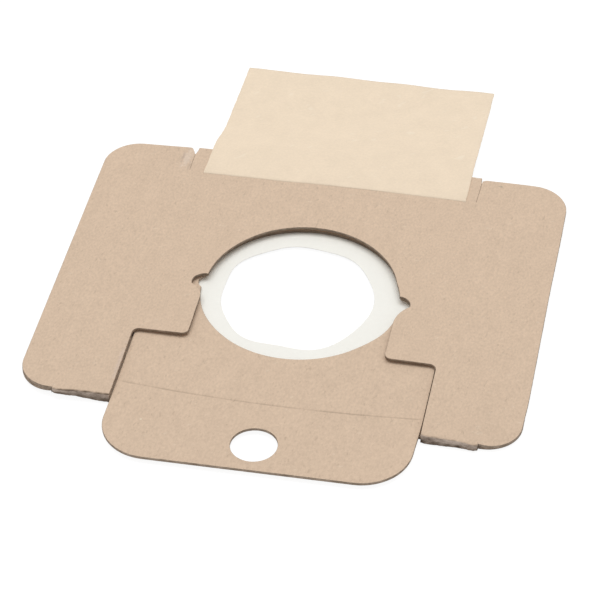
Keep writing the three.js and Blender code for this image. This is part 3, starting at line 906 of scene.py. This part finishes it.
def board_finish(colours, groups):
    """Recycled board: even matt faces with fine grain and marks, fibrous cuts, and cracked mottled folds.

    Shade is painted on the cut walls in the window and the tongue's hole and along the folds' feet, and one
    pale patch paints light on the shaded left wall of the window.
    """
    grain, fibres, patch = groups
    material, tree, shader, place = new_finish("Recycled board", 0.92, 0.12)
    cut, fold, crack_and_shade, recess_shade = (
        node(tree, "ShaderNodeAttribute", attribute_name=name).outputs["Fac"]
        for name in ("cut", "fold", "crack_and_shade", "recess_shade"))
    drawn = vector_maths(tree, "MULTIPLY", place, (1.0, 0.6, 1.0))
    pulp = use_group(tree, grain, vector=drawn, cloud_share=0.3)
    dark = use_group(tree, fibres, vector=place, scale=1300.0, share=0.67).outputs[0]
    pale = use_group(tree, fibres, vector=place, scale=1100.0, turn=(0, 0, 1.2), share=0.69).outputs[0]
    face = blend_colour(tree, maths(tree, "MULTIPLY", dark, 0.2), colours.face[:], DARK_FLECK)
    face = blend_colour(tree, maths(tree, "MULTIPLY", pale, 0.2), face, PALE_FLECK)

    streaks = vector_maths(tree, "MULTIPLY", place, (0.5, 1.0, 1.6))
    mottle = stretch(tree, cloudy(tree, streaks, 900.0, 4.0, 0.65), 0.35, 0.65)
    cut_colour = blend_colour(tree, mottle, colours.cut_dark[:], colours.cut_pale[:])
    # painted shade: the cut walls in the window and the tongue's hole are darkened towards the crack colour
    cut_colour = blend_colour(tree, maths(tree, "MULTIPLY", recess_shade, 0.8), cut_colour, colours.crack_and_shade[:])
    torn = cloudy(tree, streaks, 560.0, 5.0, 0.7)
    fibrous = stretch(tree, torn, 0.36, 0.6)
    fold_colour = blend_colour(tree, fibrous, colours.fold_dark[:], colours.fold_pale[:])

    cut_share = stretch(tree, cut, 0.15, 0.75)
    fold_edge = maths(tree, "MULTIPLY_ADD", maths(tree, "SUBTRACT", torn, 0.5), 0.5, fold)
    fold_share = stretch(tree, fold_edge, 0.45, 0.7)
    colour = blend_colour(tree, fold_share, face, fold_colour)
    colour = blend_colour(tree, cut_share, colour, cut_colour)
    rough_share = maths(tree, "MAXIMUM", cut_share, fold_share)
    # scuffs, flecks and worn places, and the one patch of painted light on the left window wall
    for (x, y, z), reach, tint, strength in MARKS:
        spot = use_group(tree, patch, vector=place, place=(x * MM, (y + size_shift()) * MM, z * MM),
                         reach=tuple(each * MM for each in reach))
        share = maths(tree, "MULTIPLY", spot.outputs[0], strength)
        colour = blend_colour(tree, share, colour, tint)
        rough_share = maths(tree, "MAXIMUM", rough_share, share)
    # darkens the splits and pressed lines, and paints shade along the folds' feet
    colour = blend_colour(tree, crack_and_shade, colour, colours.crack_and_shade[:])
    tree.links.new(brighten(tree, colour, pulp.outputs["Value"], 0.42), shader.inputs["Base Color"])

    rough_height = maths(tree, "MULTIPLY", torn, rough_share)
    emboss(tree, shader, maths(tree, "MULTIPLY_ADD", rough_height, 7.0, pulp.outputs["Height"]), 0.35)
    return material


def seal_finish(colours, groups):
    """Pale latex: smooth satin sheet with a faint cloudiness."""
    grain, _, _ = groups
    material, tree, shader, place = new_finish("Seal rubber", 0.42, 0.35)
    pulp = use_group(tree, grain, vector=place, fine=900.0, cloud=120.0, cloud_share=1.2)
    colour = brighten(tree, colours.seal[:], pulp.outputs["Value"], 0.05)
    tree.links.new(colour, shader.inputs["Base Color"])
    tree.links.new(stretch(tree, pulp.outputs["Height"], 0.3, 0.7, 0.36, 0.5), shader.inputs["Roughness"])
    emboss(tree, shader, pulp.outputs["Height"], 0.12)
    return material


def paper_finish(colours, groups):
    """Filter paper: matt beige with fine grain, soft clouds and a few fibres."""
    grain, fibres, _ = groups
    material, tree, shader, place = new_finish("Filter paper", 0.88, 0.15)
    pulp = use_group(tree, grain, vector=place, fine=1500.0, cloud=180.0, cloud_share=0.7)
    colour = brighten(tree, colours.paper[:], pulp.outputs["Value"], 0.16)
    pale = use_group(tree, fibres, vector=place, scale=520.0, turn=(0, 0, 0.9), share=0.68).outputs[0]
    colour = blend_colour(tree, maths(tree, "MULTIPLY", pale, 0.25), colour, PAPER_FIBRE)
    tree.links.new(colour, shader.inputs["Base Color"])
    emboss(tree, shader, pulp.outputs["Height"], 0.25, 0.00003)
    return material


def shared_groups():
    """The three shared effects, built once."""
    builds = {"Pulp grain": pulp_grain, "Stray fibres": stray_fibres, "Wear and light patch": wear_and_light_patch}
    return [bpy.data.node_groups.get(name) or build() for name, build in builds.items()]


# Settings


def size_setting(title, words, value):
    """A length in metres that a user can change."""
    return FloatProperty(name=title, description=words, default=value, min=0.0, unit="LENGTH", precision=5)


def colour_setting(title, words, value):
    """A colour that a user can change."""
    return FloatVectorProperty(
        name=title, description=words, default=value, size=4, min=0.0, max=1.0, subtype="COLOR")


class CollarSizes(PropertyGroup):
    """Sizes of the board, the seal and the paper."""

    board: size_setting("Board", "Thickness of the board", 0.0008)
    plate_half: size_setting("Plate half width", "From the middle to each side of the plate", 0.065)
    plate_far: size_setting("Plate far", "From the hose hole's middle to the plate's far edge", 0.055)
    plate_near: size_setting("Plate near", "From the hose hole's middle to the plate's near edge", 0.04945)
    corner: size_setting("Corner", "Radius of the plate's corners", 0.0096)
    hose_hole: size_setting("Hose hole", "Radius of the hole in the front leaf", 0.02565)
    tongue_hole: size_setting("Tongue hole", "Radius of the hole in the tongue", 0.0264)
    back_hole: size_setting("Back hole", "Radius of the hole in the back leaf", 0.024)
    finger_hole: size_setting("Finger hole", "Radius of the hole in the grip tab", 0.006)
    seal: size_setting("Seal", "Thickness of the rubber sheet", 0.0002)
    seal_rim: size_setting("Seal rim", "Radius of the rubber sheet", 0.031)
    seal_hole: size_setting("Seal hole", "Mean radius of the hole in the rubber sheet", 0.0207)
    paper: size_setting("Paper", "Thickness of the bag paper", 0.0002)
    paper_length: size_setting("Paper length", "Length of the bag paper", 0.05425)


class CollarColours(PropertyGroup):
    """Colours of the finishes."""

    face: colour_setting("Board face", "Faces of the board", (0.672, 0.515, 0.384, 1))
    cut_dark: colour_setting("Cut, dark", "Dark fibres of a cut edge", (0.26, 0.195, 0.145, 1))
    cut_pale: colour_setting("Cut, pale", "Pale fibres of a cut edge", (0.5, 0.395, 0.31, 1))
    fold_dark: colour_setting("Fold, dark", "Hollows of a fold", (0.25, 0.19, 0.15, 1))
    fold_pale: colour_setting("Fold, pale", "Torn fibres of a fold", (0.6, 0.49, 0.41, 1))
    # also the colour of painted shade along the folds' feet and on the cut walls in the window and the
    # tongue's hole
    crack_and_shade: colour_setting("Crack", "Split and pressed lines", (0.11, 0.075, 0.05, 1))
    seal: colour_setting("Seal", "The rubber sheet", (0.913, 0.9, 0.842, 1))
    paper: colour_setting("Paper", "The bag paper", (0.848, 0.708, 0.546, 1))


class CollarStudio(PropertyGroup):
    """Camera and light."""

    azimuth: FloatProperty(name="Azimuth", description="Camera turned to the right",
                           default=math.radians(11.26), subtype="ANGLE")
    elevation: FloatProperty(name="Elevation", description="Camera above the horizon",
                             default=math.radians(40.43), subtype="ANGLE")
    roll: FloatProperty(name="Roll", description="Camera tilt", default=math.radians(-0.43), subtype="ANGLE")
    distance: size_setting("Distance", "Camera to the hose hole, along the view", 0.73305)
    aside: FloatProperty(name="Aside", description="The hole's place right of the picture's middle",
                         default=0.00027, unit="LENGTH", precision=5)
    above: FloatProperty(name="Above", description="The hole's place above the picture's middle",
                         default=0.00321, unit="LENGTH", precision=5)
    lens: FloatProperty(name="Lens", description="Focal length on a 36 mm wide sensor", default=166.31)
    key: FloatProperty(name="Key", description="Power of the big soft lamp overhead", default=10.05,
                       unit="POWER")
    sky: FloatProperty(name="Sky", description="Strength of the even light from all round", default=0.485)


def sizes_of(context):
    """The sizes in millimetres, with the plate's near edge counted below the hole's middle."""
    settings = context.scene.collar_sizes
    values = {name: getattr(settings, name) / MM for name in CollarSizes.__annotations__}
    values["plate_near"] = -values["plate_near"]
    return values


# Operators


class CollarBoardAdd(Operator):
    """Adds the folded board in place of the plain one"""

    bl_idname = "collar.add_board"
    bl_label = "Board"

    def execute(self, context):
        position, faces, marks = board_mesh(sizes_of(context))
        piece = put_mesh("board_sheet", position, faces, marks)
        piece.data.materials.append(board_finish(context.scene.collar_colours, shared_groups()))
        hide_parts("collar_board")
        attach(piece, "root")
        return {"FINISHED"}


class CollarSealAdd(Operator):
    """Adds the rubber seal behind the hose hole"""

    bl_idname = "collar.add_seal"
    bl_label = "Seal"

    def execute(self, context):
        piece = put_ring("seal_sheet", seal_mesh(sizes_of(context)))
        piece.data.materials.append(seal_finish(context.scene.collar_colours, shared_groups()))
        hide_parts("seal_membrane")
        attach(piece, "root")
        return {"FINISHED"}


class CollarPaperAdd(Operator):
    """Adds the bag paper on the hinged strip"""

    bl_idname = "collar.add_paper"
    bl_label = "Bag paper"

    def execute(self, context):
        piece = put_sheet("paper_sheet", paper_mesh(sizes_of(context)))
        piece.data.materials.append(paper_finish(context.scene.collar_colours, shared_groups()))
        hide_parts("bag_paper")
        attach(piece, "root")
        return {"FINISHED"}


def seen_ray(tree):
    """1 for rays that show a thing, straight, mirrored or through glass, and 0 for rays that light others."""
    path = tree.nodes.new("ShaderNodeLightPath")
    seen = maths(tree, "MAXIMUM", path.outputs["Is Camera Ray"], path.outputs["Is Glossy Ray"])
    return maths(tree, "MAXIMUM", seen, path.outputs["Is Transmission Ray"])


class CollarStudioAdd(Operator):
    """Adds the camera, the lamps and the pale floor"""

    bl_idname = "collar.add_studio"
    bl_label = "Studio"

    def execute(self, context):
        scene = context.scene
        settings = scene.collar_studio
        self.camera(scene, settings)
        self.lights(scene, settings)
        self.floor(scene)
        scene.view_settings.view_transform = "Standard"
        return {"FINISHED"}

    def camera(self, scene, settings):
        """Turns the world by azimuth, elevation and roll, one after the other, to get the camera's axes."""
        ca, sa = math.cos(settings.azimuth), math.sin(settings.azimuth)
        se, ce = math.sin(settings.elevation), math.cos(settings.elevation)
        cr, sr = math.cos(settings.roll), math.sin(settings.roll)
        turn = Matrix(((ca, sa, 0), (-sa, ca, 0), (0, 0, 1)))
        tip = Matrix(((1, 0, 0), (0, se, ce), (0, -ce, se)))
        roll = Matrix(((cr, sr, 0), (-sr, cr, 0), (0, 0, 1)))
        to_world = (roll @ tip @ turn).transposed()
        hole = Vector((0, size_shift(), LEAF_CROWN)) * MM
        data = bpy.data.cameras.new("camera")
        data.lens = settings.lens
        data.sensor_width = 36
        camera = bpy.data.objects.new("camera", data)
        camera.matrix_world = to_world.to_4x4()
        camera.location = hole + to_world @ Vector((-settings.aside, -settings.above, settings.distance))
        scene.collection.objects.link(camera)
        scene.camera = camera

    def lights(self, scene, settings):
        """One big soft lamp overhead, and a white sky that gives less light than it shows."""
        data = bpy.data.lights.new("key", "AREA")
        data.shape = "RECTANGLE"
        data.size, data.size_y = 1.6, 0.7
        data.energy = settings.key
        lamp = bpy.data.objects.new("key", data)
        lamp.location = (-0.06, 0.25, 1.2)
        lamp.rotation_euler = (-lamp.location).to_track_quat("-Z", "Y").to_euler()
        scene.collection.objects.link(lamp)

        world = bpy.data.worlds.new("studio")
        world.use_nodes = True
        tree = world.node_tree
        tree.nodes.clear()
        soft = node(tree, "ShaderNodeBackground", {"Color": WHITE, "Strength": settings.sky})
        white = node(tree, "ShaderNodeBackground", {"Color": WHITE, "Strength": 1.0})
        both = node(tree, "ShaderNodeMixShader", {0: seen_ray(tree), 1: soft.outputs[0], 2: white.outputs[0]})
        out = tree.nodes.new("ShaderNodeOutputWorld")
        tree.links.new(both.outputs[0], out.inputs["Surface"])
        scene.world = world

    def floor(self, scene):
        """A wide square whose seen colour is white, with a part of it lit so that it keeps the shadow."""
        mesh = bpy.data.meshes.new("floor")
        mesh.from_pydata([(-3, -3, 0), (3, -3, 0), (3, 3, 0), (-3, 3, 0)], [], [(0, 1, 2, 3)])
        floor = bpy.data.objects.new("floor", mesh)
        floor.location = (0, 0, -0.00002)
        material = bpy.data.materials.new("Floor")
        material.use_nodes = True
        tree = material.node_tree
        tree.nodes.clear()
        matt = node(tree, "ShaderNodeBsdfDiffuse", {"Color": (0.8, 0.8, 0.8, 1)})
        lit = node(tree, "ShaderNodeBsdfDiffuse", {"Color": (0.17, 0.17, 0.17, 1)})
        glow = node(tree, "ShaderNodeEmission", {"Color": WHITE, "Strength": 0.91})
        shown = node(tree, "ShaderNodeAddShader", {0: lit.outputs[0], 1: glow.outputs[0]})
        both = node(tree, "ShaderNodeMixShader", {0: seen_ray(tree), 1: matt.outputs[0], 2: shown.outputs[0]})
        out = tree.nodes.new("ShaderNodeOutputMaterial")
        tree.links.new(both.outputs[0], out.inputs["Surface"])
        mesh.materials.append(material)
        scene.collection.objects.link(floor)


class VIEW3D_PT_collar(Panel):
    """Lists the collar's settings and its operators"""

    bl_label = "Dust bag collar"
    bl_idname = "VIEW3D_PT_collar"
    bl_space_type = "VIEW_3D"
    bl_region_type = "UI"
    bl_category = "Collar"

    def draw(self, context):
        layout = self.layout
        for title, settings in (
            ("Sizes", context.scene.collar_sizes), ("Colours", context.scene.collar_colours),
            ("Studio", context.scene.collar_studio),
        ):
            box = layout.box()
            box.label(text=title)
            for name in type(settings).__annotations__:
                box.prop(settings, name)
        for operator in OPERATORS:
            layout.operator(operator.bl_idname)


OPERATORS = (CollarBoardAdd, CollarSealAdd, CollarPaperAdd, CollarStudioAdd)
CLASSES = (CollarSizes, CollarColours, CollarStudio) + OPERATORS + (VIEW3D_PT_collar,)


def register():
    for each in CLASSES:
        bpy.utils.register_class(each)
    bpy.types.Scene.collar_sizes = PointerProperty(type=CollarSizes)
    bpy.types.Scene.collar_colours = PointerProperty(type=CollarColours)
    bpy.types.Scene.collar_studio = PointerProperty(type=CollarStudio)


def unregister():
    del bpy.types.Scene.collar_sizes, bpy.types.Scene.collar_colours, bpy.types.Scene.collar_studio
    for each in reversed(CLASSES):
        bpy.utils.unregister_class(each)


def main():
    register()
    bpy.ops.collar.add_board()
    bpy.ops.collar.add_seal()
    bpy.ops.collar.add_paper()
    bpy.ops.collar.add_studio()


if __name__ == "__main__":
    main()
